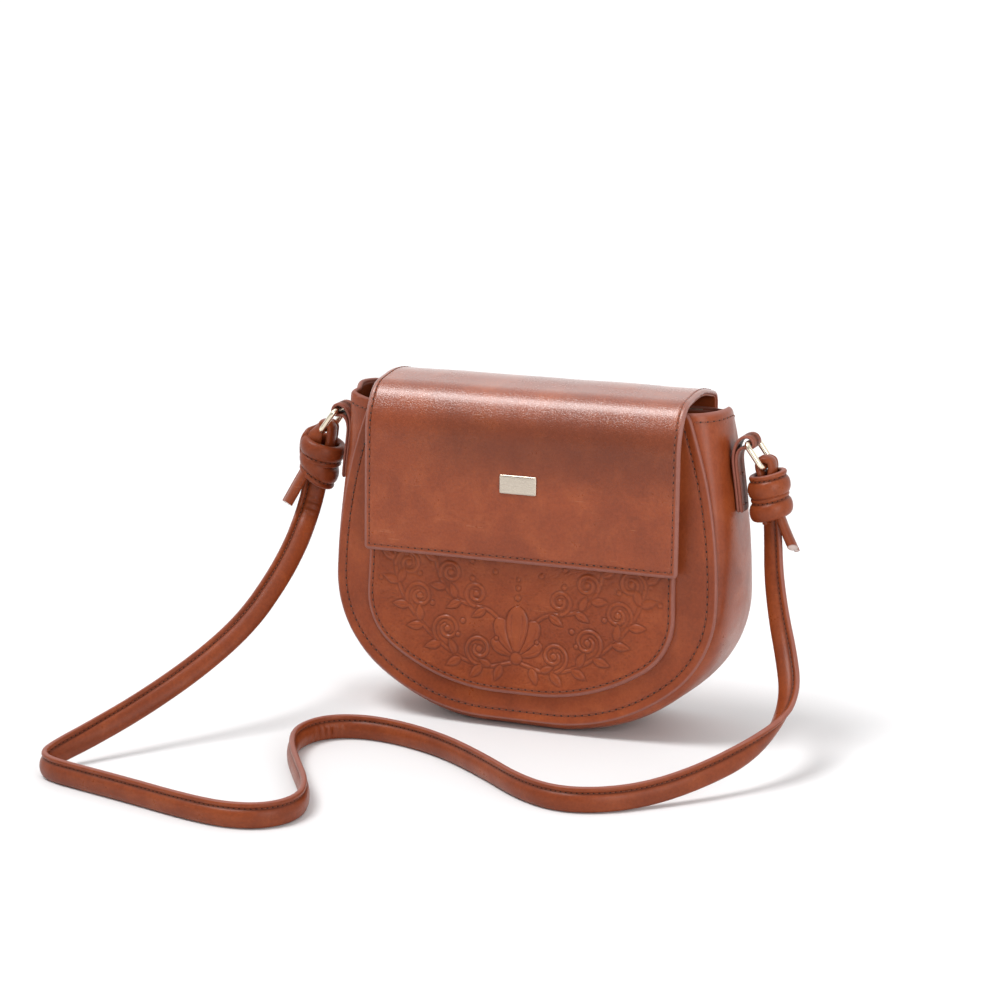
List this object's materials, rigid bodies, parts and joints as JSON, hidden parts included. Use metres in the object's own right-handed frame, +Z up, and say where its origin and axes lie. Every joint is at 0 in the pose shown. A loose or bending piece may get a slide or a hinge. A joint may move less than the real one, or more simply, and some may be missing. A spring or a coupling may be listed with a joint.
{
  "type": "saddle handbag",
  "caption": "Round-bottomed leather saddle handbag with a hinged front flap, tooled front pocket, convex gusset, side rings and a strap knotted to them.",
  "frame": {"origin": "on the floor under the middle of the bag's flat base", "axes": "+X to the bag's right seen from the front, -Y out of the front with the flap and pocket, +Z up"},
  "size_m": [0.3555, 0.2719, 0.1826],
  "materials": {
    "body_leather": "semi-gloss pull-up leather",
    "flap_leather": "semi-gloss pull-up leather",
    "tooled_leather": "tooled leather",
    "strap_leather": "semi-gloss leather",
    "lining": "woven lining",
    "board": "stiffening board",
    "hardware": "pale polished metal",
    "washer": "plain"
  },
  "bodies": {
    "bag": {"front_panel": "body_leather", "back_panel": "body_leather", "gusset": "body_leather", "front_pocket": "tooled_leather", "front_board": "board", "back_board": "board", "lining_front": "lining", "lining_back": "lining", "lining_gusset": "lining", "mouth_facing": "body_leather", "flap_tail": "flap_leather", "left_tab": "strap_leather", "right_tab": "strap_leather", "snap_socket": "hardware", "snap_socket_washer": "washer", "strap_left_drop": "strap_leather", "strap_floor_run": "strap_leather", "strap_right_drop": "strap_leather"},
    "flap": {"flap_outer": "flap_leather", "flap_board": "board", "flap_lining": "lining", "front_plate": "hardware", "plate_washer": "washer", "snap_stud": "hardware", "snap_stud_washer": "washer"},
    "left_ring_body": {"left_ring": "hardware", "left_knot_loop": "strap_leather", "left_knot_upper_wrap": "strap_leather", "left_knot_lower_wrap": "strap_leather", "left_strap_tail": "strap_leather"},
    "right_ring_body": {"right_ring": "hardware", "right_knot_loop": "strap_leather", "right_knot_upper_wrap": "strap_leather", "right_knot_lower_wrap": "strap_leather", "right_strap_tail": "strap_leather"}
  },
  "joints": [
    {"name": "flap_hinge", "type": "hinge", "parent": "bag", "child": "flap", "pos_m": [0, 0.03161, 0.165], "axis": [-1, 0, 0], "range_deg": [0, 135]},
    {"name": "left_ring_swing", "type": "hinge", "parent": "bag", "child": "left_ring_body", "pos_m": [-0.11601, 0, 0.159], "axis": [0, 1, 0], "range_deg": [0, 75], "deforming": ["strap_left_drop"]},
    {"name": "right_ring_swing", "type": "hinge", "parent": "bag", "child": "right_ring_body", "pos_m": [0.11601, 0, 0.159], "axis": [0, -1, 0], "range_deg": [0, 75], "deforming": ["strap_right_drop"]}
  ]
}
